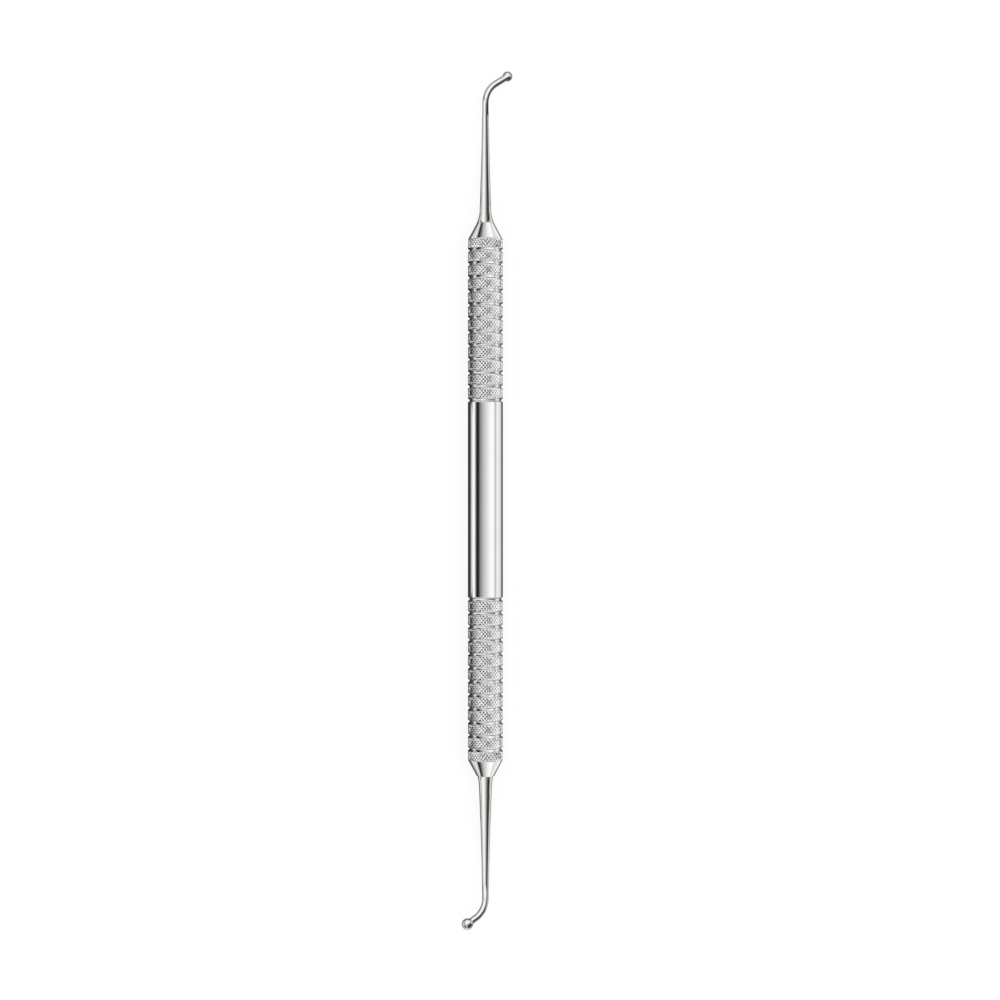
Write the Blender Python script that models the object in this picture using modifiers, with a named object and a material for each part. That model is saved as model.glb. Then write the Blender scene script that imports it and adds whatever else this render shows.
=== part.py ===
"""Dental plugger: a steel hand instrument with a ball on a bent shank at each end.

Three pieces: a turned handle, bored at both ends, and two working ends whose tangs fit the
bores. Each piece is turned along its own Z axis. The instrument then lies on a table, along
+Y, rolled round until the small ball touches the table too. The origin is on the table under
the middle of the handle. Lengths are in metres.
"""

import math

import bpy

MM = 0.001

# Handle: plain grip in the middle, then grooves and knurled bands by turns, then a cone
HANDLE_DIAMETER = 7.0 * MM
GRIP_LENGTH = 38.85 * MM
GROOVES_PER_END = 12
GROOVE_WIDTH = 0.85 * MM
GROOVE_DEPTH = 0.34 * MM
BAND_LENGTH = 1.87 * MM
END_BAND_LENGTH = 1.75 * MM
CONE_LENGTH = 3.3 * MM

# Joint between the handle and a working end: a round tang in a blind bore
TANG_DIAMETER = 2.0 * MM
TANG_LENGTH = 8.0 * MM
FIT_GAP = 0.3 * MM
BORE_WALL = 0.45 * MM

# Small working end, from the shoulder that meets the handle out to the ball
SMALL_SHOULDER_STEP = 0.0 * MM
SMALL_FLARE_LENGTH = 2.0 * MM
SMALL_ROOT_DIAMETER = 2.3 * MM
SMALL_NECK_DIAMETER = 1.25 * MM
SMALL_SHANK_LENGTH = 23.7 * MM
SMALL_BEND_RADIUS = 4.86 * MM
SMALL_BEND_ANGLE = math.radians(57.2)
SMALL_NECK_LENGTH = 3.41 * MM
SMALL_BALL_DIAMETER = 1.95 * MM

# Large working end
LARGE_SHOULDER_STEP = 0.2 * MM
LARGE_FLARE_LENGTH = 2.0 * MM
LARGE_ROOT_DIAMETER = 2.55 * MM
LARGE_NECK_DIAMETER = 1.29 * MM
LARGE_SHANK_LENGTH = 24.2 * MM
LARGE_BEND_RADIUS = 4.17 * MM
LARGE_BEND_ANGLE = math.radians(61.8)
LARGE_NECK_LENGTH = 2.16 * MM
LARGE_BALL_DIAMETER = 2.25 * MM

# Curves that both working ends share
FLARE_SWEEP = 1.5
TAPER_SWEEP = 1.4
BALL_FILLET = 0.3 * MM

# How finely round shapes are cut into flat faces
HANDLE_SIDES = 24
SHANK_SIDES = 24
GROOVE_STEPS = 6
FLARE_STEPS = 4
TAPER_STEPS = 8
BEND_STEPS = 10
FILLET_STEPS = 3
BALL_STEPS = 8
AXIS_MERGE = 0.001 * MM
SHARP_ANGLE = math.radians(30)

# Sizes that follow from those above
HANDLE_RADIUS = HANDLE_DIAMETER / 2
BORE_RADIUS = TANG_DIAMETER / 2 + FIT_GAP
BORE_DEPTH = TANG_LENGTH
CONE_END_RADIUS = BORE_RADIUS + BORE_WALL
GROOVE_PITCH = GROOVE_WIDTH + BAND_LENGTH
FIRST_GROOVE = (GRIP_LENGTH + GROOVE_WIDTH) / 2
LAST_GROOVE = FIRST_GROOVE + (GROOVES_PER_END - 1) * GROOVE_PITCH
CONE_START = LAST_GROOVE + GROOVE_WIDTH / 2 + END_BAND_LENGTH
HANDLE_END = CONE_START + CONE_LENGTH
SHOULDER = HANDLE_END + FIT_GAP

# The handle's flats touch its true circle, so its corners stand out by this factor
FLAT_TO_CORNER = 1 / math.cos(math.pi / HANDLE_SIDES)

# The small ball touches the table when its offset brings it down by this much
SMALL_BALL_OFFSET = (SMALL_BEND_RADIUS * (1 - math.cos(SMALL_BEND_ANGLE))
                     + SMALL_NECK_LENGTH * math.sin(SMALL_BEND_ANGLE))
SMALL_BALL_DROP = HANDLE_RADIUS - SMALL_BALL_DIAMETER / 2
REST_ROLL = math.asin(SMALL_BALL_DROP / SMALL_BALL_OFFSET)


def clear_scene():
    for obj in list(bpy.data.objects):
        bpy.data.objects.remove(obj, do_unlink=True)


def steel(name, colour, roughness):
    """A bare polished steel."""
    material = bpy.data.materials.new(name)
    material.use_nodes = True
    shader = material.node_tree.nodes["Principled BSDF"]
    shader.inputs["Base Color"].default_value = (*colour, 1)
    shader.inputs["Metallic"].default_value = 1
    shader.inputs["Roughness"].default_value = roughness
    return material


def turned(name, outline, sides):
    """A solid turned about Z from an outline of (radius, height) that runs from top to bottom."""
    profile = bpy.data.meshes.new(name + "_profile")
    points = [(radius, 0, height) for radius, height in outline]
    edges = [(index, index + 1) for index in range(len(points) - 1)]
    profile.from_pydata(points, edges, [])
    obj = bpy.data.objects.new(name, profile)
    PARTS.objects.link(obj)
    screw = obj.modifiers.new("turning", "SCREW")
    screw.steps = screw.render_steps = sides
    screw.use_merge_vertices = True
    screw.merge_threshold = AXIS_MERGE
    depsgraph = bpy.context.evaluated_depsgraph_get()
    obj.data = bpy.data.meshes.new_from_object(obj.evaluated_get(depsgraph))
    obj.modifiers.clear()
    bpy.data.meshes.remove(profile)
    obj.data.name = name
    return obj


def finish(obj, material):
    obj.data.shade_smooth()
    obj.data.set_sharp_from_angle(angle=SHARP_ANGLE)
    obj.data.materials.append(material)
    obj.parent = AXIS


def groove(centre):
    """Points of one round-bottomed groove, outer edge first."""
    arc_radius = (GROOVE_WIDTH ** 2 / 4 + GROOVE_DEPTH ** 2) / (2 * GROOVE_DEPTH)
    half_angle = math.acos(1 - GROOVE_DEPTH / arc_radius)
    bottom = HANDLE_RADIUS - GROOVE_DEPTH
    points = []
    for step in range(GROOVE_STEPS + 1):
        angle = half_angle * (1 - 2 * step / GROOVE_STEPS)
        points.append((bottom + arc_radius * (1 - math.cos(angle)),
                       centre + arc_radius * math.sin(angle)))
    return points


def handle_outline():
    """The outer side and both bores of the handle, from the top bore's floor to the lower one's."""
    upper = [(CONE_END_RADIUS, HANDLE_END), (HANDLE_RADIUS, CONE_START)]
    for number in reversed(range(GROOVES_PER_END)):
        upper += groove(FIRST_GROOVE + number * GROOVE_PITCH)
    outside = [(radius * FLAT_TO_CORNER, height) for radius, height in upper]
    bore_floor = HANDLE_END - BORE_DEPTH
    upper_half = [(0, bore_floor), (BORE_RADIUS, bore_floor), (BORE_RADIUS, HANDLE_END), *outside]
    lower_half = [(radius, -height) for radius, height in reversed(upper_half)]
    return upper_half + lower_half


def make_handle(material):
    """The handle, turned about its axis so that a row of flats lies on the table."""
    obj = turned("handle", handle_outline(), HANDLE_SIDES)
    table_side = math.pi / 2 - REST_ROLL
    obj.rotation_euler.z = table_side - math.pi / HANDLE_SIDES
    finish(obj, material)


def eased(start, end, share, sweep):
    """From start to end in a hollow curve that flattens towards the end."""
    return end + (start - end) * (1 - share) ** sweep


def working_end_outline(shoulder_step, flare_length, root_diameter, neck_diameter,
                        shank_length, bend_length, neck_length, ball_diameter):
    """A straightened working end: the tang, the flared and tapering shank, the neck and the ball."""
    neck = neck_diameter / 2
    ball = ball_diameter / 2
    tang_end = SHOULDER - TANG_LENGTH
    points = [(0, tang_end), (TANG_DIAMETER / 2, tang_end), (TANG_DIAMETER / 2, SHOULDER)]
    for step in range(FLARE_STEPS):
        share = step / FLARE_STEPS
        radius = eased(CONE_END_RADIUS - shoulder_step, root_diameter / 2, share, FLARE_SWEEP)
        points.append((radius, SHOULDER + share * flare_length))
    for step in range(TAPER_STEPS):
        share = step / TAPER_STEPS
        radius = eased(root_diameter / 2, neck, share, TAPER_SWEEP)
        height = SHOULDER + flare_length + share * (shank_length - flare_length)
        points.append((radius, height))
    bend_start = SHOULDER + shank_length
    for step in range(BEND_STEPS + 1):
        points.append((neck, bend_start + bend_length * step / BEND_STEPS))
    ball_centre = bend_start + bend_length + neck_length
    hollow = neck + BALL_FILLET
    hollow_back = math.sqrt((ball + BALL_FILLET) ** 2 - hollow ** 2)
    ball_turn = math.atan2(hollow, hollow_back)
    for step in range(FILLET_STEPS):
        angle = ball_turn + (math.pi / 2 - ball_turn) * (1 - step / FILLET_STEPS)
        points.append((hollow - BALL_FILLET * math.sin(angle),
                       ball_centre - hollow_back + BALL_FILLET * math.cos(angle)))
    for step in range(BALL_STEPS):
        angle = ball_turn + (math.pi - ball_turn) * step / BALL_STEPS
        points.append((ball * math.sin(angle), ball_centre - ball * math.cos(angle)))
    points.append((0, ball_centre + ball))
    return points[::-1]


def bend(mesh, start, radius, angle):
    """Bends the mesh towards +X: straight up to start, round an arc, and straight again."""
    for vertex in mesh.vertices:
        across, side, height = vertex.co
        run = height - start
        if run <= 0:
            continue
        turn = min(run / radius, angle)
        beyond = run - turn * radius
        centre = radius * (1 - math.cos(turn)) + beyond * math.sin(turn)
        rise = radius * math.sin(turn) + beyond * math.cos(turn)
        vertex.co = (centre + across * math.cos(turn), side, start + rise - across * math.sin(turn))


def make_working_end(name, material, half_turn, shoulder_step, flare_length, root_diameter,
                     neck_diameter, shank_length, bend_radius, bend_angle, neck_length, ball_diameter):
    """A working end on the +Z side, bent towards +X, or half a turn round from that."""
    outline = working_end_outline(shoulder_step, flare_length, root_diameter, neck_diameter,
                                  shank_length, bend_radius * bend_angle, neck_length, ball_diameter)
    obj = turned(name, outline, SHANK_SIDES)
    bend(obj.data, SHOULDER + shank_length, bend_radius, bend_angle)
    obj.rotation_euler.y = half_turn
    finish(obj, material)


clear_scene()
PARTS = bpy.data.collections.new("dental_plugger")
bpy.context.scene.collection.children.link(PARTS)

# The instrument's axis lies along +Y at the height of the handle's radius
AXIS = bpy.data.objects.new("instrument_axis", None)
PARTS.objects.link(AXIS)
AXIS.location = (0, 0, HANDLE_RADIUS)
AXIS.rotation_euler = (-math.pi / 2, REST_ROLL, 0)

make_handle(steel("polished_handle_steel", (0.76, 0.76, 0.75), 0.1))
make_working_end("small_ball_end", steel("small_end_steel", (0.73, 0.72, 0.7), 0.12), 0,
                 SMALL_SHOULDER_STEP, SMALL_FLARE_LENGTH, SMALL_ROOT_DIAMETER, SMALL_NECK_DIAMETER,
                 SMALL_SHANK_LENGTH, SMALL_BEND_RADIUS, SMALL_BEND_ANGLE, SMALL_NECK_LENGTH,
                 SMALL_BALL_DIAMETER)
make_working_end("large_ball_end", steel("large_end_steel", (0.73, 0.72, 0.7), 0.12), math.pi,
                 LARGE_SHOULDER_STEP, LARGE_FLARE_LENGTH, LARGE_ROOT_DIAMETER, LARGE_NECK_DIAMETER,
                 LARGE_SHANK_LENGTH, LARGE_BEND_RADIUS, LARGE_BEND_ANGLE, LARGE_NECK_LENGTH,
                 LARGE_BALL_DIAMETER)
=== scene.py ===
"""Looks of a dental plugger: bright polished steel with fine knurling, on a white table.

Each of the part's three nodes is replaced by a fine mesh of the same form, turned about its own
Z axis and then laid along +Y as the instrument rests. Lengths are in metres.

Polished metal shows only what is round it, so most of the studio is cloths that metal alone
sees: screens above the instrument, and strips of painted shadow on the table, which stand for
the table's shade beside and under the instrument. None is part of the instrument.
"""

import math

import bmesh
import bpy
from mathutils import Euler, Matrix, Vector


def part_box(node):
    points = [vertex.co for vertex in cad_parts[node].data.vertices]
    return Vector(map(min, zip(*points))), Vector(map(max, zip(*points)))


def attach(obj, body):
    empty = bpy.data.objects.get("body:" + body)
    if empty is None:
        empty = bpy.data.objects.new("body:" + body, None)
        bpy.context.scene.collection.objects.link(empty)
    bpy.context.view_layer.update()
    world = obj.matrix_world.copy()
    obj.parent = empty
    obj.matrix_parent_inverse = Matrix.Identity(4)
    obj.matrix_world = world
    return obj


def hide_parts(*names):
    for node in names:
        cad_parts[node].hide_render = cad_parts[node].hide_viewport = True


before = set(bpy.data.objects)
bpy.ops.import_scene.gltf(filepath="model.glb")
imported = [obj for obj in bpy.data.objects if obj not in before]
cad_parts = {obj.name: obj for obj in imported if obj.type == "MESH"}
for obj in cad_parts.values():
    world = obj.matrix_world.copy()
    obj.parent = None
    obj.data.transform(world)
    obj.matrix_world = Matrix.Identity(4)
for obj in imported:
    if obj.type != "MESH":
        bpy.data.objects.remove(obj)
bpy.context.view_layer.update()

MM = 0.001

# Handle, as far as the frame gives it
HANDLE_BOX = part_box("handle")
HANDLE_RADIUS = (HANDLE_BOX[1].z - HANDLE_BOX[0].z) / 2
HANDLE_END = HANDLE_BOX[1].y

# Handle: grooves and knurled bands by turns, then a cone with a bore for the tang
GROOVES_PER_END = 12
GROOVE_WIDTH = 0.85 * MM
GROOVE_DEPTH = 0.34 * MM
GROOVE_EDGE_ROUND = 0.12 * MM
BAND_LENGTH = 1.87 * MM
GRIP_LENGTH = 38.85 * MM
CONE_LENGTH = 3.3 * MM
CONE_END_RADIUS = 1.75 * MM
CONE_RIM_ROUND = 0.05 * MM
CONE_CORNER_ROUND = 0.25 * MM
BORE_RADIUS = 1.3 * MM
BORE_DEPTH = 8.0 * MM
GROOVE_PITCH = GROOVE_WIDTH + BAND_LENGTH
FIRST_GROOVE = (GRIP_LENGTH + GROOVE_WIDTH) / 2
FIRST_BAND = FIRST_GROOVE + GROOVE_PITCH / 2
CONE_START = HANDLE_END - CONE_LENGTH

# Diamond knurl: teeth round the handle, their length along it, how deep their valleys are, how
# far up from a valley a tooth's flat top starts, and how far from a band's edge the depth is full
KNURL_TEETH = 32
KNURL_PITCH = 0.82 * MM
KNURL_DEPTH = 0.15 * MM
KNURL_FLAT = 0.9
KNURL_FADE = 0.18 * MM
KNURL_ROW = KNURL_PITCH / 4
KNURL_TURN = math.radians(-4.3)

# Working ends, each from the seam out to the ball
SHOULDER_RADIUS = {"small": 1.75 * MM, "large": 1.55 * MM}
FLARE_LENGTH = {"small": 2.3 * MM, "large": 2.3 * MM}
ROOT_RADIUS = {"small": 1.15 * MM, "large": 1.275 * MM}
NECK_RADIUS = {"small": 0.625 * MM, "large": 0.645 * MM}
BEND_START = {"small": 79.245 * MM, "large": 79.745 * MM}
BEND_RADIUS = {"small": 4.86 * MM, "large": 4.17 * MM}
BEND_ANGLE = {"small": math.radians(57.2), "large": math.radians(61.8)}
NECK_LENGTH = {"small": 3.41 * MM, "large": 2.16 * MM}
BALL_RADIUS = {"small": 0.975 * MM, "large": 1.125 * MM}
BALL_FILLET = 0.3 * MM
FLARE_SWEEP = 1.5
TAPER_SWEEP = 1.4
TANG_RADIUS = 1.0 * MM
TANG_GAP = 0.3 * MM
TANG_END = HANDLE_END - BORE_DEPTH + TANG_GAP
SEAM_GAP = 0.01 * MM

# How finely round shapes are cut. A row at HOLD from a rounded edge keeps the mirror flat past it
HANDLE_SIDES = KNURL_TEETH * 4
SHANK_SIDES = 64
GROOVE_STEPS = 8
EDGE_STEPS = 3
FLARE_STEPS = 12
TAPER_STEPS = 30
BEND_STEPS = 24
FILLET_STEPS = 6
BALL_STEPS = 28
HOLD = 0.04 * MM
MERGE = 0.0001 * MM
SHARP_ANGLE = math.radians(18)

# The instrument lies rolled until the small ball touches the table
BALL_OFFSET = (BEND_RADIUS["small"] * (1 - math.cos(BEND_ANGLE["small"]))
               + NECK_LENGTH["small"] * math.sin(BEND_ANGLE["small"]))
REST_ROLL = math.asin((HANDLE_RADIUS - BALL_RADIUS["small"]) / BALL_OFFSET)
AXIS = Matrix.Translation((0, 0, HANDLE_RADIUS))
LYING = AXIS @ Euler((-math.pi / 2, REST_ROLL, 0)).to_matrix().to_4x4()

# The two working ends: each one's place, and which way along Y it points
ENDS = ("small", "large")
PLACE = {"small": LYING, "large": LYING @ Matrix.Rotation(math.pi, 4, "Y")}
SIDE = {"small": 1, "large": -1}

# Camera, straight above as in the photo
VIEW_WIDTH = 200 * MM
VIEW_CENTRE = (2.92 * MM, -0.06 * MM)
LENS = 72
SENSOR = 36
CLIP_START = 10 * MM
CLIP_END = 20
CAMERA_PLACE = (*VIEW_CENTRE, HANDLE_RADIUS + VIEW_WIDTH * LENS / SENSOR)

# Steel: the size of its faint clouds, and how its lines vary the roughness
CLOUD_SIZE = 6 * MM
SMOOTHEST = 0.8
ROUGHEST = 1.25

# Socket numbers of a Mix node, whose names repeat for values and colours
SHARE, VALUE_A, VALUE_B, COLOUR_A, COLOUR_B = 0, 2, 3, 6, 7
VALUE_OUT, COLOUR_OUT = 0, 2

# World, lamp and table. A share of the table shows as plain white, and the rest takes the shadow
WORLD_STRENGTH = 0.8
LAMP_POWER = 1.9
LAMP_SIZE = (0.5, 0.7)
LAMP_PLACE = (0.15, 0, 0.7)
TABLE_HALF = 4
TABLE_DROP = 0.01 * MM
TABLE_GLOW = 0.85

# Screens: half-round cloths above the instrument, and how far past a zone's start it is full
CLOTH_STRENGTH = 1.3
SCREEN_TURN = math.radians(100)
SCREEN_STEPS = 48
ZONE_BLEND = 1.02

# The screens' greys, as (degrees from straight up, positive to the right, colour)
HANDLE_GREYS = [
    (-100, "#E0E0E0"), (-86, "#FFFFFF"), (-78, "#FFFFFF"), (-70, "#B0B0B0"), (-62, "#505050"),
    (-56, "#141414"), (-48, "#141414"), (-41, "#505050"), (-33, "#888888"), (-18, "#B0B0B0"),
    (0, "#D0D0D0"), (15, "#E4E4E4"), (30, "#F8F8F8"), (54, "#FFFFFF"), (62, "#E0E0E0"),
    (68, "#C0C0C0"), (76, "#C8C8C8"), (84, "#FFFFFF"), (100, "#FFFFFF")]
SHANK_GREYS = [
    (-100, "#808080"), (-90, "#8C8C8C"), (-78, "#C0C0C0"), (-66, "#F0F0F0"), (-50, "#FFFFFF"),
    (-20, "#FFFFFF"), (-6, "#E0E0E0"), (6, "#B8B8B8"), (22, "#888888"), (36, "#585858"),
    (46, "#282828"), (60, "#181818"), (68, "#505050"), (78, "#808080"), (92, "#B4B4B4"),
    (100, "#B4B4B4")]
KNURL_GREYS = [
    (-100, "#606060"), (-86, "#505050"), (-78, "#202020"), (-64, "#101010"), (-56, "#484848"),
    (-48, "#747474"), (-40, "#8C8C8C"), (-24, "#B4B4B4"), (-8, "#D4D4D4"), (16, "#E4E4E4"),
    (40, "#FFFFFF"), (62, "#FFFFFF"), (76, "#D8D8D8"), (86, "#A0A0A0"), (100, "#909090")]
CONE_GREYS = [
    (-100, "#FFFFFF"), (-92, "#FFFFFF"), (-82, "#909090"), (-74, "#282828"), (-66, "#181818"),
    (-58, "#484848"), (-50, "#686868"), (-41, "#909090"), (-27, "#B8B8B8"), (0, "#D0D0D0"),
    (30, "#F0F0F0"), (58, "#FFFFFF"), (72, "#FFFFFF"), (84, "#E0E0E0"), (95, "#C0C0C0"),
    (100, "#C8C8C8")]
NECK_GREYS = [
    (-100, "#909090"), (-84, "#909090"), (-70, "#C0C0C0"), (-56, "#FFFFFF"), (-4, "#FFFFFF"),
    (8, "#C8C8C8"), (22, "#808080"), (36, "#484848"), (60, "#282828"), (80, "#505050"),
    (100, "#787878")]
BALL_GREYS = [(-100, "#808080"), (-60, "#C8C8C8"), (60, "#C8C8C8"), (100, "#808080")]
BALL_RIM_GREYS = [(-100, "#606060"), (100, "#606060")]

# The screens' zones, as (where along the screen each starts, how much sooner it starts at the
# screen's lower edges, greys)
GREAT_ZONES = [(0, 0, HANDLE_GREYS), (188 * MM, 0, SHANK_GREYS), (435 * MM, 0, KNURL_GREYS),
               (1400 * MM, 0.5, CONE_GREYS)]
FLARE_ZONES = [(0, 0, SHANK_GREYS)]
NECK_ZONES = [(0, 0, NECK_GREYS), (6.3 * MM, 0, BALL_GREYS), (11 * MM, 0, BALL_RIM_GREYS)]

# The great screen is about the whole instrument, the flare's and neck's screens about those alone.
# A cut, as (where it starts, how fast it leans), keeps them off the rest of the metal's view
GREAT_RADIUS = 1.0
GREAT_REACH = 3.0
FLARE_SCREEN_RADIUS = 16 * MM
FLARE_SCREEN_SPAN = (61.8 * MM, 76 * MM)
FLARE_CUT = (65.3 * MM, 0.5)
NECK_SCREEN_RADIUS = 6 * MM
NECK_SCREEN_SPAN = (-12 * MM, 14 * MM)
NECK_CUT = {"small": (5.8 * MM, 0.65), "large": (4.2 * MM, 0.5)}

# Painted shadows: dark strips on the table beside the instrument, which metal alone sees. They
# paint the table's shade beside the instrument into the metal's dark rims. Each lies at
# both ends over one span from the middle. Greys are (distance from the axis, colour)
PAINTED_SHADOW_HEIGHT = 0.02 * MM
PAINTED_SHADOW_SPANS = {"grip": (0, 20 * MM), "knurl": (20 * MM, 54.5 * MM), "cone": (54.5 * MM, 65 * MM),
              "shank": (65 * MM, 95 * MM)}
LEFT_PAINTED_SHADOWS = {
    "grip": [(0, "#303030"), (9.6 * MM, "#303030"), (24 * MM, "#A0A0A0")],
    "knurl": [(0, "#080808"), (5 * MM, "#080808"), (6 * MM, "#383838"), (12 * MM, "#505050"),
              (30 * MM, "#707070"), (120 * MM, "#B0B0B0")],
    "cone": [(0, "#606060"), (7 * MM, "#606060"), (9 * MM, "#808080"), (11 * MM, "#D0D0D0"),
             (13 * MM, "#FFFFFF")],
    "shank": [(0, "#A8A8A8"), (3 * MM, "#A0A0A0"), (7 * MM, "#707070"), (11 * MM, "#787878"),
              (16 * MM, "#B0B0B0"), (25 * MM, "#E0E0E0"), (40 * MM, "#F0F0F0")]}
RIGHT_PAINTED_SHADOWS = {
    "grip": [(0, "#585858"), (7.8 * MM, "#585858"), (13 * MM, "#E0E0E0")],
    "knurl": [(0, "#303030"), (5 * MM, "#606060"), (15 * MM, "#D0D0D0"), (30 * MM, "#F8F8F8")],
    "cone": [(0, "#404040"), (4.5 * MM, "#585858"), (6 * MM, "#A0A0A0"), (8 * MM, "#F8F8F8"),
             (13 * MM, "#F0F0F0")],
    "shank": [(0, "#787878"), (4 * MM, "#848484"), (6 * MM, "#A8A8A8"), (9 * MM, "#D8D8D8"),
              (13 * MM, "#F4F4F4")]}

# A round painted shadow on the table under each ball, which paints the ball's dark rim
BALL_PAINTED_SHADOW_RADIUS = 8 * MM
BALL_PAINTED_SHADOW_SIDES = 32
BALL_PAINTED_SHADOW_GREY = {"small": "#707070", "large": "#606060"}


def linear(colour):
    """The linear colour, with alpha, of an sRGB hex value."""
    parts = [int(colour[place:place + 2], 16) / 255 for place in (1, 3, 5)]
    return (*(part / 12.92 if part <= 0.04045 else ((part + 0.055) / 1.055) ** 2.4 for part in parts), 1)


def add(tree, kind, inputs=(), **settings):
    """A new node. Its inputs are values or other nodes' outputs, by name or number."""
    new = tree.nodes.new(kind)
    for name, value in settings.items():
        setattr(new, name, value)
    for key, value in dict(inputs).items():
        if isinstance(value, bpy.types.NodeSocket):
            tree.links.new(value, new.inputs[key])
        else:
            new.inputs[key].default_value = value
    return new


def new_material(name):
    material = bpy.data.materials.new(name)
    material.use_nodes = True
    material.node_tree.nodes.clear()
    return material, material.node_tree


def new_object(name, bm, material):
    """An object in the scene with a finished mesh."""
    mesh = bpy.data.meshes.new(name)
    bm.to_mesh(mesh)
    bm.free()
    mesh.materials.append(material)
    obj = bpy.data.objects.new(name, mesh)
    bpy.context.scene.collection.objects.link(obj)
    return obj


def polished_steel(name, colour, dull_colour, roughness, line_length, line_gap, line_height, knurl=None):
    """Bright stainless steel with the fine lines that its last cut left.

    The lines are line_gap apart along the instrument and line_length long round it. A knurl is
    given as (colour, roughness, colour of the painted shade in its pits).
    """
    material, tree = new_material(name)
    place = add(tree, "ShaderNodeTexCoord").outputs["Object"]
    stretched = add(tree, "ShaderNodeMapping", {
        "Vector": place, "Scale": (1 / line_length, 1 / line_gap, 1 / line_length)})
    lines = add(tree, "ShaderNodeTexNoise", {
        "Vector": stretched.outputs["Vector"], "Scale": 1, "Detail": 3, "Roughness": 0.6})
    cloud = add(tree, "ShaderNodeTexNoise", {"Vector": place, "Scale": 1 / CLOUD_SIZE, "Detail": 2})
    shade = add(tree, "ShaderNodeMix", {
        SHARE: cloud.outputs["Fac"], COLOUR_A: linear(colour), COLOUR_B: linear(dull_colour)},
        data_type="RGBA").outputs[COLOUR_OUT]
    rough = add(tree, "ShaderNodeMapRange", {
        "Value": lines.outputs["Fac"], "To Min": roughness * SMOOTHEST,
        "To Max": roughness * ROUGHEST}).outputs["Result"]
    bump = add(tree, "ShaderNodeBump", {
        "Height": lines.outputs["Fac"], "Strength": 1, "Distance": line_height})
    if knurl:
        knurl_colour, knurl_roughness, pit_shade_colour = knurl
        knurled = add(tree, "ShaderNodeAttribute", attribute_name="knurled").outputs["Fac"]
        # 1 where valleys cross: the mask of the painted shade in the knurl's pits
        pit_shade = add(tree, "ShaderNodeAttribute", attribute_name="pit_shade").outputs["Fac"]
        # the knurl's own colour, then painted shade in its pits
        for share, other in ((knurled, knurl_colour), (pit_shade, pit_shade_colour)):
            shade = add(tree, "ShaderNodeMix", {
                SHARE: share, COLOUR_A: shade, COLOUR_B: linear(other)},
                data_type="RGBA").outputs[COLOUR_OUT]
        rough = add(tree, "ShaderNodeMix", {
            SHARE: knurled, VALUE_A: rough, VALUE_B: knurl_roughness},
            data_type="FLOAT").outputs[VALUE_OUT]
    shader = add(tree, "ShaderNodeBsdfPrincipled", {
        "Base Color": shade, "Metallic": 1, "Roughness": rough, "Normal": bump.outputs["Normal"]})
    add(tree, "ShaderNodeOutputMaterial", {"Surface": shader.outputs["BSDF"]})
    return material


def turned_polished_stainless():
    """The handle's steel, which mirrors the studio in long clean stripes.

    Turning left lines right round it, drawn further apart than the real ones, which are too fine
    to show. They only soften the stripes. The knurl is a little whiter and duller, and its pits
    are painted black: a painted shade for the little light that comes back out of them.
    """
    # 000000 is painted shade in the knurl's pits
    return polished_steel("turned_polished_stainless", "#E6E6E5", "#DEDEDD", 0.08, 40 * MM, 0.08 * MM,
                          0.0002 * MM, knurl=("#F8F8F7", 0.1, "#000000"))


def ground_polished_stainless():
    """The working ends' steel: as bright and a touch warmer, with fine marks that run no one way."""
    return polished_steel("ground_polished_stainless", "#E0DEDB", "#D6D4D1", 0.09, 0.4 * MM, 0.4 * MM,
                          0.0005 * MM)


def piece(name, bm, material, node):
    """Ends a mesh that is already in place, and hands it to the frame instead of the node."""
    bmesh.ops.remove_doubles(bm, verts=bm.verts, dist=MERGE)
    bmesh.ops.recalc_face_normals(bm, faces=bm.faces)
    obj = new_object(name, bm, material)
    obj.data.shade_smooth()
    obj.data.set_sharp_from_angle(angle=SHARP_ANGLE)
    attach(obj, "root")
    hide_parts(node)


def spun(outline, sides):
    """A mesh turned about Z from an outline of (radius, height)."""
    bm = bmesh.new()
    points = [bm.verts.new((radius, 0, height)) for radius, height in outline]
    lines = [bm.edges.new(pair) for pair in zip(points, points[1:])]
    bmesh.ops.spin(bm, geom=points + lines, cent=(0, 0, 0), axis=(0, 0, 1),
                   angle=2 * math.pi, steps=sides, use_merge=True)
    bmesh.ops.remove_doubles(bm, verts=bm.verts, dist=MERGE)
    return bm


def arc(centre, radius, start, end, steps):
    """Points on an arc about (radius, height), with angles measured from the radius outwards."""
    turns = [start + (end - start) * step / steps for step in range(steps + 1)]
    return [(centre[0] + radius * math.cos(turn), centre[1] + radius * math.sin(turn)) for turn in turns]


def groove_outline(centre):
    """A round-bottomed groove with rounded edges, lower edge first."""
    reach = (GROOVE_WIDTH ** 2 / 4 + GROOVE_DEPTH ** 2) / (2 * GROOVE_DEPTH)
    bottom_radius = reach - GROOVE_EDGE_ROUND
    side = math.acos(1 - GROOVE_DEPTH / reach)
    half = GROOVE_WIDTH / 2
    edge = HANDLE_RADIUS - GROOVE_EDGE_ROUND
    middle = HANDLE_RADIUS - GROOVE_DEPTH + bottom_radius
    lower = arc((edge, centre - half), GROOVE_EDGE_ROUND, 0, side, EDGE_STEPS)
    bottom = arc((middle, centre), bottom_radius, math.pi + side, math.pi - side, GROOVE_STEPS)
    upper = arc((edge, centre + half), GROOVE_EDGE_ROUND, -side, 0, EDGE_STEPS)
    return lower[:-1] + bottom + upper[1:]


def band_rows(centre):
    """A knurled band's rows of vertices, placed so that teeth and valleys fall on them."""
    count = int((BAND_LENGTH / 2 - KNURL_ROW / 4) / KNURL_ROW)
    return [(HANDLE_RADIUS, centre + row * KNURL_ROW) for row in range(-count, count + 1)]


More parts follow.
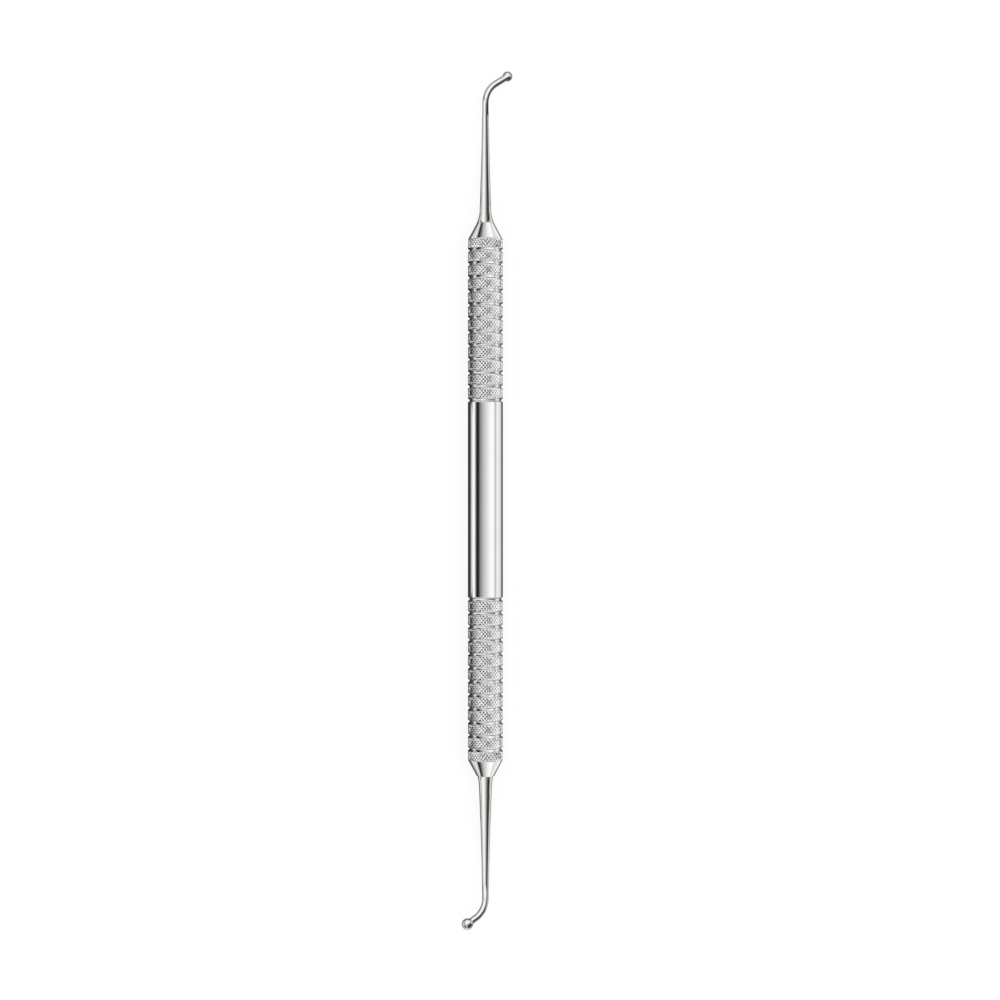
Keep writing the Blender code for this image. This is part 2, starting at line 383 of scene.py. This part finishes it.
def cone_outline():
    """The cone from its rounded corner to its rounded rim, with a row at HOLD from each."""
    slope = math.atan2(HANDLE_RADIUS - CONE_END_RADIUS, CONE_LENGTH)
    corner_reach = CONE_CORNER_ROUND * math.tan(slope / 2)
    corner = arc((HANDLE_RADIUS - CONE_CORNER_ROUND, CONE_START - corner_reach),
                 CONE_CORNER_ROUND, 0, slope, EDGE_STEPS)
    rim_reach = CONE_RIM_ROUND * math.tan((math.pi / 2 - slope) / 2)
    rim = arc((CONE_END_RADIUS - rim_reach, HANDLE_END - CONE_RIM_ROUND),
              CONE_RIM_ROUND, slope, math.pi / 2, EDGE_STEPS)
    near_corner = (corner[-1][0] - HOLD * math.sin(slope), corner[-1][1] + HOLD * math.cos(slope))
    near_rim = (rim[0][0] + HOLD * math.sin(slope), rim[0][1] - HOLD * math.cos(slope))
    return corner + [near_corner, near_rim] + rim


def handle_outline():
    """The handle from its middle up and over to the upper bore's floor."""
    points = [(HANDLE_RADIUS, 0), (HANDLE_RADIUS, GRIP_LENGTH / 2 - HOLD)]
    for number in range(GROOVES_PER_END):
        points += groove_outline(FIRST_GROOVE + number * GROOVE_PITCH)
        points += band_rows(FIRST_BAND + number * GROOVE_PITCH)
    bore_floor = HANDLE_END - BORE_DEPTH
    return points + cone_outline() + [(BORE_RADIUS, HANDLE_END), (BORE_RADIUS, bore_floor), (0, bore_floor)]


def knurl(bm):
    """Sinks the bands' surface between rows of diamond teeth, and marks the teeth, and the pits where
    painted shade goes.
    """
    knurled = bm.verts.layers.float.new("knurled")
    pit_shade = bm.verts.layers.float.new("pit_shade")
    for vertex in bm.verts:
        radius = math.hypot(vertex.co.x, vertex.co.y)
        along = abs(vertex.co.z) - FIRST_BAND
        number = round(along / GROOVE_PITCH)
        from_centre = along - number * GROOVE_PITCH
        to_edge = BAND_LENGTH / 2 - abs(from_centre)
        if radius < HANDLE_RADIUS - MERGE or not 0 <= number < GROOVES_PER_END or to_edge < MERGE:
            continue
        around = math.atan2(vertex.co.y, vertex.co.x) / (2 * math.pi) * KNURL_TEETH
        along_turns = from_centre / KNURL_PITCH
        teeth = [1 - abs(2 * ((around + turn * along_turns) % 1) - 1) for turn in (1, -1)]
        share = min(to_edge / KNURL_FADE, 1)
        sunk = KNURL_DEPTH * (1 - min(min(teeth) / KNURL_FLAT, 1)) * share
        vertex.co.x *= 1 - sunk / radius
        vertex.co.y *= 1 - sunk / radius
        vertex[knurled] = share
        # 1 where valleys cross: the mask of the pits' painted shade
        vertex[pit_shade] = (1 - teeth[0]) * (1 - teeth[1]) * share


def split_along_valleys(bm):
    """Splits each face of the knurl along its deeper diagonal, so that the valleys run straight."""
    for face in list(bm.faces):
        corners = list(face.verts)
        heights = [math.hypot(corner.co.x, corner.co.y) for corner in corners]
        if len(corners) < 4 or max(heights) - min(heights) < MERGE:
            continue
        first, second = heights[0] + heights[2], heights[1] + heights[3]
        if abs(first - second) > MERGE:
            start = 0 if first < second else 1
            bmesh.utils.face_split(face, corners[start], corners[start + 2])


def make_handle(material):
    half = handle_outline()
    lower = [(radius, -height) for radius, height in reversed(half[1:])]
    bm = spun(lower + half, HANDLE_SIDES)
    knurl(bm)
    split_along_valleys(bm)
    bm.transform(LYING @ Matrix.Rotation(KNURL_TURN, 4, "Z"))
    piece("turned_handle", bm, material, "handle")


def eased(start, end, share, sweep):
    """From start to end in a hollow curve that flattens towards the end."""
    return end + (start - end) * (1 - share) ** sweep


def swept(radii, heights, sweep, steps):
    """Points down a hollow curve between two radii, without the last one."""
    shares = [step / steps for step in range(steps)]
    return [(eased(*radii, share, sweep), heights[0] + share * (heights[1] - heights[0]))
            for share in shares]


def working_end_outline(end):
    """A straightened working end, from the tang out to the ball's tip."""
    neck, ball, root = NECK_RADIUS[end], BALL_RADIUS[end], ROOT_RADIUS[end]
    seam = HANDLE_END + SEAM_GAP
    taper_start = seam + FLARE_LENGTH[end]
    points = [(0, TANG_END), (TANG_RADIUS, TANG_END), (TANG_RADIUS, seam)]
    points += swept((SHOULDER_RADIUS[end], root), (seam, taper_start), FLARE_SWEEP, FLARE_STEPS)
    points += swept((root, neck), (taper_start, BEND_START[end]), TAPER_SWEEP, TAPER_STEPS)
    bend_length = BEND_RADIUS[end] * BEND_ANGLE[end]
    points += [(neck, BEND_START[end] + bend_length * step / BEND_STEPS) for step in range(BEND_STEPS + 1)]
    centre = BEND_START[end] + bend_length + NECK_LENGTH[end]
    hollow = neck + BALL_FILLET
    back = math.sqrt((ball + BALL_FILLET) ** 2 - hollow ** 2)
    meeting = math.atan2(back, hollow)
    points.append((neck, centre - back - HOLD))
    points += arc((hollow, centre - back), BALL_FILLET, math.pi, math.pi - meeting, FILLET_STEPS)
    points += arc((0, centre), ball, -meeting, math.pi / 2, BALL_STEPS)[1:]
    return points


def bend(bm, start, radius, angle):
    """Bends the mesh towards +X: straight up to start, round an arc, and straight again."""
    for vertex in bm.verts:
        across, side, height = vertex.co
        run = height - start
        if run <= 0:
            continue
        turn = min(run / radius, angle)
        beyond = run - turn * radius
        centre = radius * (1 - math.cos(turn)) + beyond * math.sin(turn)
        rise = radius * math.sin(turn) + beyond * math.cos(turn)
        vertex.co = (centre + across * math.cos(turn), side, start + rise - across * math.sin(turn))


def make_working_end(end, material):
    bm = spun(working_end_outline(end), SHANK_SIDES)
    bend(bm, BEND_START[end], BEND_RADIUS[end], BEND_ANGLE[end])
    bm.transform(PLACE[end])
    piece(end + "_working_end", bm, material, end + "_ball_end")


def looked_at(tree):
    """1 for what the camera sees, itself or in metal or glass, and 0 for what only lights."""
    paths = add(tree, "ShaderNodeLightPath")
    seen = add(tree, "ShaderNodeMath", {
        0: paths.outputs["Is Camera Ray"], 1: paths.outputs["Is Glossy Ray"]}, operation="MAXIMUM")
    seen = add(tree, "ShaderNodeMath", {
        0: seen.outputs[0], 1: paths.outputs["Is Transmission Ray"]}, operation="MAXIMUM")
    return seen.outputs[0]


def white_matt_table():
    """Plain white laminate: it shows as even white, apart from the instrument's soft shadow."""
    material, tree = new_material("white_matt_table")
    share = add(tree, "ShaderNodeMath", {0: looked_at(tree), 1: TABLE_GLOW}, operation="MULTIPLY")
    matt = add(tree, "ShaderNodeBsdfDiffuse", {"Color": linear("#FFFFFF")})
    white = add(tree, "ShaderNodeEmission", {"Color": linear("#FFFFFF"), "Strength": 1})
    mixed = add(tree, "ShaderNodeMixShader", {
        0: share.outputs[0], 1: matt.outputs["BSDF"], 2: white.outputs["Emission"]})
    add(tree, "ShaderNodeOutputMaterial", {"Surface": mixed.outputs["Shader"]})
    return material


def make_floor():
    bm = bmesh.new()
    bmesh.ops.create_grid(bm, x_segments=1, y_segments=1, size=TABLE_HALF)
    floor = new_object("table", bm, white_matt_table())
    floor.location.z = -TABLE_DROP


def stage_for_metal(name, bm, material, place=Matrix()):
    """A screen, or a strip of painted shadow, that shows in polished metal alone, and shades nothing."""
    obj = new_object(name, bm, material)
    obj.matrix_world = place
    obj.visible_camera = False
    obj.visible_diffuse = False
    obj.visible_transmission = False
    obj.visible_shadow = False


def glow(tree, colour):
    """Ends a cloth's material, which gives an even light of this colour."""
    light = add(tree, "ShaderNodeEmission", {"Color": colour, "Strength": CLOTH_STRENGTH})
    add(tree, "ShaderNodeOutputMaterial", {"Surface": light.outputs["Emission"]})


def graded(tree, value, start, end, greys):
    """The colour for a value, along greys of (place, colour) that are spread from start to end."""
    first, last = greys[0][0], greys[-1][0]
    share = add(tree, "ShaderNodeMapRange", {"Value": value, "From Min": start, "From Max": end})
    ramp = add(tree, "ShaderNodeValToRGB", {0: share.outputs["Result"]})
    stops = ramp.color_ramp.elements
    for number, (place, colour) in enumerate(greys):
        where = (place - first) / (last - first)
        stop = stops[number] if number < 2 else stops.new(where)
        stop.position = where
        stop.color = linear(colour)
    return ramp.outputs["Color"]


def screen_cloth(name, radius, zones):
    """A cloth whose grey changes with the angle round a screen, and by zones along it."""
    material, tree = new_material(name + "_cloth")
    place = add(tree, "ShaderNodeTexCoord").outputs["Object"]
    parts = add(tree, "ShaderNodeSeparateXYZ", {0: place})
    turn = add(tree, "ShaderNodeMath", {
        0: parts.outputs["X"], 1: parts.outputs["Z"]}, operation="ARCTAN2")
    along = add(tree, "ShaderNodeMath", {0: parts.outputs["Y"]}, operation="ABSOLUTE")
    shade = None
    for limit, sooner, greys in zones:
        colour = graded(tree, turn.outputs[0], math.radians(greys[0][0]), math.radians(greys[-1][0]), greys)
        if shade is None:
            shade = colour
            continue
        low = add(tree, "ShaderNodeMapRange", {
            "Value": parts.outputs["Z"], "From Min": radius, "From Max": 0, "To Min": 1,
            "To Max": 1 + sooner}, clamp=False)
        reach = add(tree, "ShaderNodeMath", {
            0: along.outputs[0], 1: low.outputs["Result"]}, operation="MULTIPLY")
        past = add(tree, "ShaderNodeMapRange", {
            "Value": reach.outputs[0], "From Min": limit, "From Max": limit * ZONE_BLEND})
        shade = add(tree, "ShaderNodeMix", {
            SHARE: past.outputs["Result"], COLOUR_A: shade, COLOUR_B: colour},
            data_type="RGBA").outputs[COLOUR_OUT]
    glow(tree, shade)
    return material


def make_screen(name, radius, span, zones, place, cut=None):
    """A half-round screen about the Y axis of its place, which only polished metal sees.

    A cut, of a point and a direction, removes what lies beyond the point in that direction.
    """
    bm = bmesh.new()
    edge = [bm.verts.new((0, along, radius)) for along in span]
    line = bm.edges.new(edge)
    bmesh.ops.rotate(bm, verts=edge, cent=(0, 0, 0), matrix=Matrix.Rotation(-SCREEN_TURN, 3, "Y"))
    bmesh.ops.spin(bm, geom=edge + [line], cent=(0, 0, 0), axis=(0, 1, 0),
                   angle=2 * SCREEN_TURN, steps=SCREEN_STEPS)
    if cut:
        bmesh.ops.bisect_plane(bm, geom=bm.verts[:] + bm.edges[:] + bm.faces[:],
                               plane_co=cut[0], plane_no=cut[1], clear_outer=True)
    stage_for_metal(name, bm, screen_cloth(name, radius, zones), place)


def make_flare_screen(end):
    """A near screen over a shank's flare, which would else show the great screen's far zones."""
    start, lean = FLARE_CUT
    span = sorted(SIDE[end] * along for along in FLARE_SCREEN_SPAN)
    cut = ((0, SIDE[end] * start, 0), (0, SIDE[end], -lean))
    make_screen(end + "_flare_screen", FLARE_SCREEN_RADIUS, span, FLARE_ZONES, AXIS, cut)


def neck_place(end):
    """Where the straight neck starts: Y along it and up the picture, X to the right, Z to the camera."""
    angle = BEND_ANGLE[end]
    start = PLACE[end] @ Vector((BEND_RADIUS[end] * (1 - math.cos(angle)), 0,
                                 BEND_START[end] + BEND_RADIUS[end] * math.sin(angle)))
    along = SIDE[end] * (PLACE[end].to_3x3() @ Vector((math.sin(angle), 0, math.cos(angle))))
    to_camera = Vector(CAMERA_PLACE) - start
    up = (to_camera - to_camera.dot(along) * along).normalized()
    turned = Matrix((along.cross(up), along, up)).transposed().to_4x4()
    return Matrix.Translation(start) @ turned


def make_neck_screen(end):
    """A near screen about a bent neck and its ball, turned with the neck."""
    start, lean = NECK_CUT[end]
    span = sorted(SIDE[end] * along for along in NECK_SCREEN_SPAN)
    cut = ((0, -SIDE[end] * start, 0), (SIDE[end] * lean, -SIDE[end], 0))
    make_screen(end + "_neck_screen", NECK_SCREEN_RADIUS, span, NECK_ZONES, neck_place(end), cut)


def make_painted_shadow(name, side, span, greys):
    """A strip of painted shadow on the table on one side of the instrument, at both ends, which metal alone
    sees.
    """
    material, tree = new_material(name + "_cloth")
    place = add(tree, "ShaderNodeTexCoord").outputs["Object"]
    across = add(tree, "ShaderNodeSeparateXYZ", {0: place}).outputs["X"]
    width = greys[-1][0]
    # painted shadow: dark beside the instrument, paler further out
    glow(tree, graded(tree, across, 0, side * width, greys))
    bm = bmesh.new()
    for half in (-1, 1):
        strip = bmesh.ops.create_grid(bm, x_segments=1, y_segments=1, size=0.5)["verts"]
        bmesh.ops.scale(bm, verts=strip, vec=(width, span[1] - span[0], 1))
        bmesh.ops.translate(bm, verts=strip, vec=(side * width / 2, half * sum(span) / 2, PAINTED_SHADOW_HEIGHT))
    stage_for_metal(name, bm, material)


def make_ball_painted_shadow(end):
    """A round painted shadow under a ball, which darkens the ball's rim in reflection."""
    name = end + "_ball_flag"
    material, tree = new_material(name + "_cloth")
    # the grey of the painted shadow under the ball
    glow(tree, linear(BALL_PAINTED_SHADOW_GREY[end]))
    centre = neck_place(end) @ Vector((0, SIDE[end] * NECK_LENGTH[end], 0))
    bm = bmesh.new()
    bmesh.ops.create_circle(bm, cap_ends=True, segments=BALL_PAINTED_SHADOW_SIDES, radius=BALL_PAINTED_SHADOW_RADIUS)
    bmesh.ops.translate(bm, verts=bm.verts, vec=(centre.x, centre.y, 2 * PAINTED_SHADOW_HEIGHT))
    stage_for_metal(name, bm, material)


def make_world():
    """An even white studio, which looks plain white and lights a little less."""
    world = bpy.data.worlds.new("white_studio")
    world.use_nodes = True
    tree = world.node_tree
    tree.nodes.clear()
    strength = add(tree, "ShaderNodeMapRange", {
        "Value": looked_at(tree), "To Min": WORLD_STRENGTH, "To Max": 1})
    white = add(tree, "ShaderNodeBackground", {
        "Color": linear("#FFFFFF"), "Strength": strength.outputs["Result"]})
    add(tree, "ShaderNodeOutputWorld", {"Surface": white.outputs["Background"]})
    bpy.context.scene.world = world


def make_lamp():
    """A soft box above and to the right, which the metal itself doesn't show."""
    data = bpy.data.lights.new("soft_box", "AREA")
    data.shape = "RECTANGLE"
    data.size, data.size_y = LAMP_SIZE
    data.energy = LAMP_POWER
    lamp = bpy.data.objects.new("soft_box", data)
    lamp.location = LAMP_PLACE
    lamp.rotation_euler = (-lamp.location).to_track_quat("-Z", "Y").to_euler()
    lamp.visible_glossy = False
    lamp.visible_camera = False
    bpy.context.scene.collection.objects.link(lamp)


def make_camera():
    data = bpy.data.cameras.new("camera")
    data.lens = LENS
    data.sensor_width = SENSOR
    data.clip_start = CLIP_START
    data.clip_end = CLIP_END
    camera = bpy.data.objects.new("camera", data)
    camera.location = CAMERA_PLACE
    bpy.context.scene.collection.objects.link(camera)
    bpy.context.scene.camera = camera


# Studio
make_world()
make_floor()
make_lamp()
make_screen("graded_screen", GREAT_RADIUS, (-GREAT_REACH, GREAT_REACH), GREAT_ZONES, AXIS)
for end in ENDS:
    make_flare_screen(end)
    make_neck_screen(end)
    make_ball_painted_shadow(end)
# strips of painted shadow, which darken the metal's rims in reflection
for hand, side, painted_shadows in (("left", -1, LEFT_PAINTED_SHADOWS), ("right", 1, RIGHT_PAINTED_SHADOWS)):
    for stretch, greys in painted_shadows.items():
        make_painted_shadow(f"{hand}_{stretch}_flag", side, PAINTED_SHADOW_SPANS[stretch], greys)
make_camera()
bpy.context.scene.view_settings.view_transform = "Standard"

# Instrument
make_handle(turned_polished_stainless())
end_steel = ground_polished_stainless()
for end in ENDS:
    make_working_end(end, end_steel)
